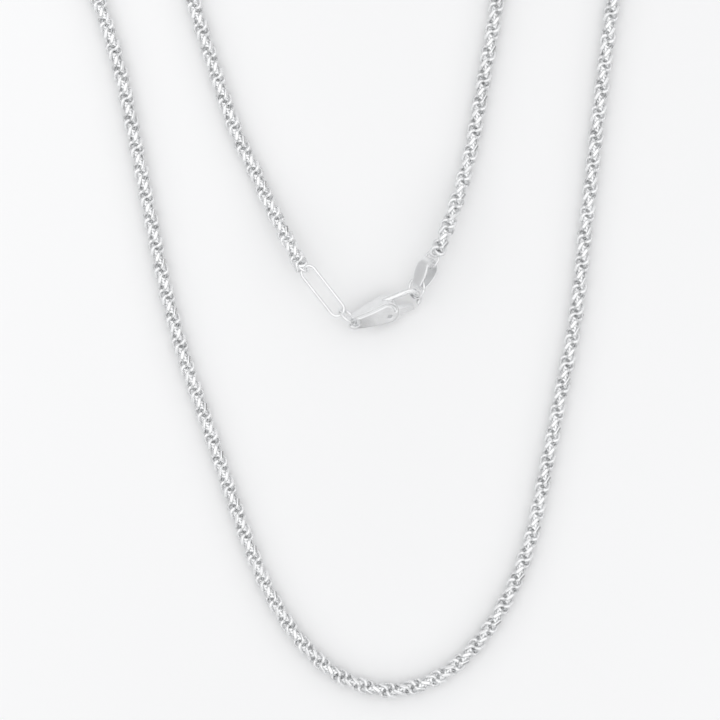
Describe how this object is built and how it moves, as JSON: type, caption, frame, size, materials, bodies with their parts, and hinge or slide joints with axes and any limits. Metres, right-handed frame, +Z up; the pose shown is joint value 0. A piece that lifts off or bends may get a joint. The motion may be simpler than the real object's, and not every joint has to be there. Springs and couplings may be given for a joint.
{
  "type": "chain necklace",
  "caption": "Diamond-cut rope chain necklace laid in a closed loop, with a lobster clasp, oval end link, rings and a drop-shaped bail.",
  "frame": {"origin": "centre of the laid loop's outline, on the surface it lies on", "axes": "+Y along the loop's length, from the front of the chain to the turned-back ends; +Z up from the surface; +X across the loop, from the oval link's side to the bail's side"},
  "size_m": [0.0854, 0.1251, 0.0046],
  "materials": {
    "chain_silver": "bright diamond-cut silver",
    "ring_silver": "polished silver wire",
    "clasp_silver": "polished cast silver",
    "spring_steel": "plain spring steel"
  },
  "bodies": {
    "front": {"front_1": "chain_silver", "front_2": "chain_silver", "front_3": "chain_silver"},
    "left_outer_12": {"left_outer_12": "chain_silver"},
    "left_outer_11": {"left_outer_11": "chain_silver"},
    "left_outer_10": {"left_outer_10": "chain_silver"},
    "left_outer_9": {"left_outer_9": "chain_silver"},
    "left_outer_8": {"left_outer_8": "chain_silver"},
    "left_outer_7": {"left_outer_7": "chain_silver"},
    "left_outer_6": {"left_outer_6": "chain_silver"},
    "left_outer_5": {"left_outer_5": "chain_silver"},
    "left_outer_4": {"left_outer_4": "chain_silver"},
    "left_outer_3": {"left_outer_3": "chain_silver"},
    "left_outer_2": {"left_outer_2": "chain_silver"},
    "left_outer_1": {"left_outer_1": "chain_silver"},
    "left_turn": {"left_turn_1": "chain_silver", "left_turn_2": "chain_silver", "left_turn_3": "chain_silver"},
    "left_inner_5": {"left_inner_5": "chain_silver"},
    "left_inner_4": {"left_inner_4": "chain_silver"},
    "left_inner_3": {"left_inner_3": "chain_silver"},
    "left_inner_2": {"left_inner_2": "chain_silver"},
    "left_inner_1": {"left_inner_1": "chain_silver"},
    "right_outer_1": {"right_outer_1": "chain_silver"},
    "right_outer_2": {"right_outer_2": "chain_silver"},
    "right_outer_3": {"right_outer_3": "chain_silver"},
    "right_outer_4": {"right_outer_4": "chain_silver"},
    "right_outer_5": {"right_outer_5": "chain_silver"},
    "right_outer_6": {"right_outer_6": "chain_silver"},
    "right_outer_7": {"right_outer_7": "chain_silver"},
    "right_outer_8": {"right_outer_8": "chain_silver"},
    "right_outer_9": {"right_outer_9": "chain_silver"},
    "right_outer_10": {"right_outer_10": "chain_silver"},
    "right_outer_11": {"right_outer_11": "chain_silver"},
    "right_outer_12": {"right_outer_12": "chain_silver"},
    "right_turn": {"right_turn_1": "chain_silver", "right_turn_2": "chain_silver", "right_turn_3": "chain_silver"},
    "right_inner_1": {"right_inner_1": "chain_silver"},
    "right_inner_2": {"right_inner_2": "chain_silver"},
    "right_inner_3": {"right_inner_3": "chain_silver"},
    "right_inner_4": {"right_inner_4": "chain_silver"},
    "right_inner_5": {"right_inner_5": "chain_silver"},
    "oval": {"oval_link": "ring_silver"},
    "jump": {"jump_ring": "ring_silver"},
    "clasp": {"clasp_body": "clasp_silver", "lever_pin": "spring_steel", "lever_spring": "spring_steel"},
    "lever": {"clasp_lever": "clasp_silver"},
    "catch": {"catch_ring": "ring_silver"},
    "drop_bail": {"bail": "ring_silver"},
    "tip": {"tip_ring": "ring_silver"}
  },
  "joints": [
    {"name": "left_fold_1", "type": "hinge", "parent": "front", "child": "left_outer_12", "pos_m": [-0.00537, -0.05553, 0.00117], "axis": [1, 0.0035, 0], "range_deg": [-10, 10]},
    {"name": "right_fold_1", "type": "hinge", "parent": "front", "child": "right_outer_1", "pos_m": [0.01874, -0.05545, 0.00117], "axis": [1, 0.0035, 0], "range_deg": [-10, 10]},
    {"name": "left_fold_2", "type": "hinge", "parent": "left_outer_12", "child": "left_outer_11", "pos_m": [-0.01087, -0.04756, 0.00117], "axis": [1, 0.0043, 0], "range_deg": [-10, 10]},
    {"name": "right_fold_2", "type": "hinge", "parent": "right_outer_1", "child": "right_outer_2", "pos_m": [0.02414, -0.04741, 0.00117], "axis": [1, 0.0043, 0], "range_deg": [-10, 10]},
    {"name": "left_fold_3", "type": "hinge", "parent": "left_outer_11", "child": "left_outer_10", "pos_m": [-0.01434, -0.0395, 0.00117], "axis": [1, -0.0043, 0], "range_deg": [-10, 10]},
    {"name": "right_fold_3", "type": "hinge", "parent": "right_outer_2", "child": "right_outer_3", "pos_m": [0.02718, -0.03968, 0.00117], "axis": [1, -0.0043, 0], "range_deg": [-10, 10]},
    {"name": "left_fold_4", "type": "hinge", "parent": "left_outer_10", "child": "left_outer_9", "pos_m": [-0.01711, -0.03165, 0.00117], "axis": [1, 0.0018, 0], "range_deg": [-10, 10]},
    {"name": "right_fold_4", "type": "hinge", "parent": "right_outer_3", "child": "right_outer_4", "pos_m": [0.02902, -0.03157, 0.00117], "axis": [1, 0.0018, 0], "range_deg": [-10, 10]},
    {"name": "left_fold_5", "type": "hinge", "parent": "left_outer_9", "child": "left_outer_8", "pos_m": [-0.01991, -0.02333, 0.00117], "axis": [1, -0.0017, 0], "range_deg": [-10, 10]},
    {"name": "right_fold_5", "type": "hinge", "parent": "right_outer_4", "child": "right_outer_5", "pos_m": [0.03067, -0.02341, 0.00117], "axis": [1, -0.0017, 0], "range_deg": [-10, 10]},
    {"name": "left_fold_6", "type": "hinge", "parent": "left_outer_8", "child": "left_outer_7", "pos_m": [-0.02268, -0.01548, 0.00117], "axis": [1, -0.0041, 0], "range_deg": [-10, 10]},
    {"name": "right_fold_6", "type": "hinge", "parent": "right_outer_5", "child": "right_outer_6", "pos_m": [0.03221, -0.01571, 0.00117], "axis": [1, -0.0041, 0], "range_deg": [-10, 10]},
    {"name": "left_fold_7", "type": "hinge", "parent": "left_outer_7", "child": "left_outer_6", "pos_m": [-0.02509, -0.00752, 0.00117], "axis": [1, -0.0002, 0], "range_deg": [-10, 10]},
    {"name": "right_fold_7", "type": "hinge", "parent": "right_outer_6", "child": "right_outer_7", "pos_m": [0.03376, -0.00753, 0.00117], "axis": [1, -0.0002, 0], "range_deg": [-10, 10]},
    {"name": "left_fold_8", "type": "hinge", "parent": "left_outer_6", "child": "left_outer_5", "pos_m": [-0.02685, -0.00034, 0.00117], "axis": [1, -0.0052, 0], "range_deg": [-10, 10]},
    {"name": "right_fold_8", "type": "hinge", "parent": "right_outer_7", "child": "right_outer_8", "pos_m": [0.03464, -0.00066, 0.00117], "axis": [1, -0.0052, 0], "range_deg": [-10, 10]},
    {"name": "left_fold_9", "type": "hinge", "parent": "left_outer_5", "child": "left_outer_4", "pos_m": [-0.02843, 0.00736, 0.00117], "axis": [0.9989, 0.0166, 0.044], "range_deg": [-10, 10]},
    {"name": "right_fold_9", "type": "hinge", "parent": "right_outer_8", "child": "right_outer_9", "pos_m": [0.03554, 0.00762, 0.00117], "axis": [0.9967, 0.011, -0.0809], "range_deg": [-10, 10]},
    {"name": "left_fold_10", "type": "hinge", "parent": "left_outer_4", "child": "left_outer_3", "pos_m": [-0.03005, 0.01552, 0.00117], "axis": [1, 0.0065, 0], "range_deg": [-10, 10]},
    {"name": "right_fold_10", "type": "hinge", "parent": "right_outer_9", "child": "right_outer_10", "pos_m": [0.03641, 0.01543, 0.00117], "axis": [1, 0.0056, -0.0082], "range_deg": [-10, 10]},
    {"name": "left_fold_11", "type": "hinge", "parent": "left_outer_3", "child": "left_outer_2", "pos_m": [-0.03171, 0.02368, 0.00117], "axis": [1, 0.0001, 0], "range_deg": [-10, 10]},
    {"name": "right_fold_11", "type": "hinge", "parent": "right_outer_10", "child": "right_outer_11", "pos_m": [0.03734, 0.0237, 0.00117], "axis": [0.9999, 0.0126, 0], "range_deg": [-10, 10]},
    {"name": "left_fold_12", "type": "hinge", "parent": "left_outer_2", "child": "left_outer_1", "pos_m": [-0.03352, 0.03132, 0.00117], "axis": [0.9998, 0.0189, 0], "range_deg": [-10, 10]},
    {"name": "right_fold_12", "type": "hinge", "parent": "right_outer_11", "child": "right_outer_12", "pos_m": [0.03829, 0.0315, 0.00117], "axis": [1, -0.0098, 0], "range_deg": [-10, 10]},
    {"name": "left_fold_13", "type": "hinge", "parent": "left_outer_1", "child": "left_turn", "pos_m": [-0.03616, 0.0397, 0.00117], "axis": [0.9999, -0.0123, 0], "range_deg": [-10, 10]},
    {"name": "right_fold_13", "type": "hinge", "parent": "right_outer_12", "child": "right_turn", "pos_m": [0.03933, 0.03929, 0.00117], "axis": [1, -0.0077, 0], "range_deg": [-10, 10]},
    {"name": "left_back_fold_13", "type": "hinge", "parent": "left_turn", "child": "left_inner_5", "pos_m": [-0.02223, 0.03952, 0.00117], "axis": [0.9999, -0.0123, 0], "range_deg": [-10, 10]},
    {"name": "right_back_fold_13", "type": "hinge", "parent": "right_turn", "child": "right_inner_1", "pos_m": [0.02232, 0.03942, 0.00117], "axis": [1, -0.0077, 0], "range_deg": [-10, 10]},
    {"name": "left_back_fold_12", "type": "hinge", "parent": "left_inner_5", "child": "left_inner_4", "pos_m": [-0.01975, 0.03158, 0.00117], "axis": [0.9998, 0.0189, 0], "range_deg": [-10, 10]},
    {"name": "right_back_fold_12", "type": "hinge", "parent": "right_inner_1", "child": "right_inner_2", "pos_m": [0.02103, 0.03167, 0.00117], "axis": [1, -0.0098, 0], "range_deg": [-10, 10]},
    {"name": "left_back_fold_11", "type": "hinge", "parent": "left_inner_4", "child": "left_inner_3", "pos_m": [-0.01714, 0.02368, 0.00117], "axis": [1, 0.0001, 0], "range_deg": [-10, 10]},
    {"name": "right_back_fold_11", "type": "hinge", "parent": "right_inner_2", "child": "right_inner_3", "pos_m": [0.01958, 0.02347, 0.00117], "axis": [0.9999, 0.0126, 0], "range_deg": [-10, 10]},
    {"name": "left_back_fold_10", "type": "hinge", "parent": "left_inner_3", "child": "left_inner_2", "pos_m": [-0.01366, 0.01563, 0.00117], "axis": [1, 0.0065, 0], "range_deg": [-10, 10]},
    {"name": "right_back_fold_10", "type": "hinge", "parent": "right_inner_3", "child": "right_inner_4", "pos_m": [0.01791, 0.01532, 0.00132], "axis": [1, 0.0056, -0.0082], "range_deg": [-10, 10]},
    {"name": "left_back_fold_9", "type": "hinge", "parent": "left_inner_2", "child": "left_inner_1", "pos_m": [-0.00995, 0.00767, 0.00198], "axis": [0.9989, 0.0166, 0.044], "range_deg": [-10, 10]},
    {"name": "right_back_fold_9", "type": "hinge", "parent": "right_inner_4", "child": "right_inner_5", "pos_m": [0.01539, 0.00739, 0.00281], "axis": [0.9967, 0.011, -0.0809], "range_deg": [-10, 10]},
    {"name": "oval_roll", "type": "hinge", "parent": "left_inner_1", "child": "oval", "pos_m": [-0.00031, -0.00605, 0.0029], "axis": [-0.6444, 0.7647, 0], "range_deg": [-12, 6]},
    {"name": "jump_roll", "type": "hinge", "parent": "left_inner_1", "child": "jump", "pos_m": [0.00154, -0.0073, 0.00209], "axis": [-0.779, 0.5255, 0.342], "range_deg": [-12, 12]},
    {"name": "clasp_roll", "type": "hinge", "parent": "left_inner_1", "child": "clasp", "pos_m": [0.00154, -0.0073, 0.00209], "axis": [0.9094, 0.4147, 0.0318], "range_deg": [-8, 8]},
    {"name": "lever_hinge", "type": "hinge", "parent": "clasp", "child": "lever", "pos_m": [0.00642, -0.00603, 0.00161], "axis": [0.2202, -0.545, 0.809], "range_deg": [0, 24], "stiffness_Nm_per_rad": 0.004, "springref_deg": -5.73, "deforming": ["lever_spring"]},
    {"name": "tip_roll", "type": "hinge", "parent": "right_inner_5", "child": "tip", "pos_m": [0.01218, 0.00066, 0.00299], "axis": [0.4384, 0.8988, 0], "range_deg": [-12, 8]},
    {"name": "bail_roll", "type": "hinge", "parent": "right_inner_5", "child": "drop_bail", "pos_m": [0.01126, -0.00123, 0.00353], "axis": [0.4247, 0.8707, -0.2482], "range_deg": [-4, 10]},
    {"name": "catch_roll", "type": "hinge", "parent": "right_inner_5", "child": "catch", "pos_m": [0.00987, -0.0035, 0.00238], "axis": [0.4803, 0.7824, 0.3963], "range_deg": [-8, 4]}
  ],
  "couplings": [
    {"joint": "right_fold_1", "follows": "left_fold_1", "ratio": 1},
    {"joint": "right_fold_2", "follows": "left_fold_2", "ratio": 1},
    {"joint": "right_fold_3", "follows": "left_fold_3", "ratio": 1},
    {"joint": "right_fold_4", "follows": "left_fold_4", "ratio": 1},
    {"joint": "right_fold_5", "follows": "left_fold_5", "ratio": 1},
    {"joint": "right_fold_6", "follows": "left_fold_6", "ratio": 1},
    {"joint": "right_fold_7", "follows": "left_fold_7", "ratio": 1},
    {"joint": "right_fold_8", "follows": "left_fold_8", "ratio": 1},
    {"joint": "left_back_fold_13", "follows": "left_fold_13", "ratio": -1},
    {"joint": "right_back_fold_13", "follows": "right_fold_13", "ratio": -1},
    {"joint": "left_back_fold_12", "follows": "left_fold_12", "ratio": -1},
    {"joint": "right_back_fold_12", "follows": "right_fold_12", "ratio": -1},
    {"joint": "left_back_fold_11", "follows": "left_fold_11", "ratio": -1},
    {"joint": "right_back_fold_11", "follows": "right_fold_11", "ratio": -1},
    {"joint": "left_back_fold_10", "follows": "left_fold_10", "ratio": -1},
    {"joint": "right_back_fold_10", "follows": "right_fold_10", "ratio": -1},
    {"joint": "left_back_fold_9", "follows": "left_fold_9", "ratio": -1},
    {"joint": "right_back_fold_9", "follows": "right_fold_9", "ratio": -1}
  ]
}
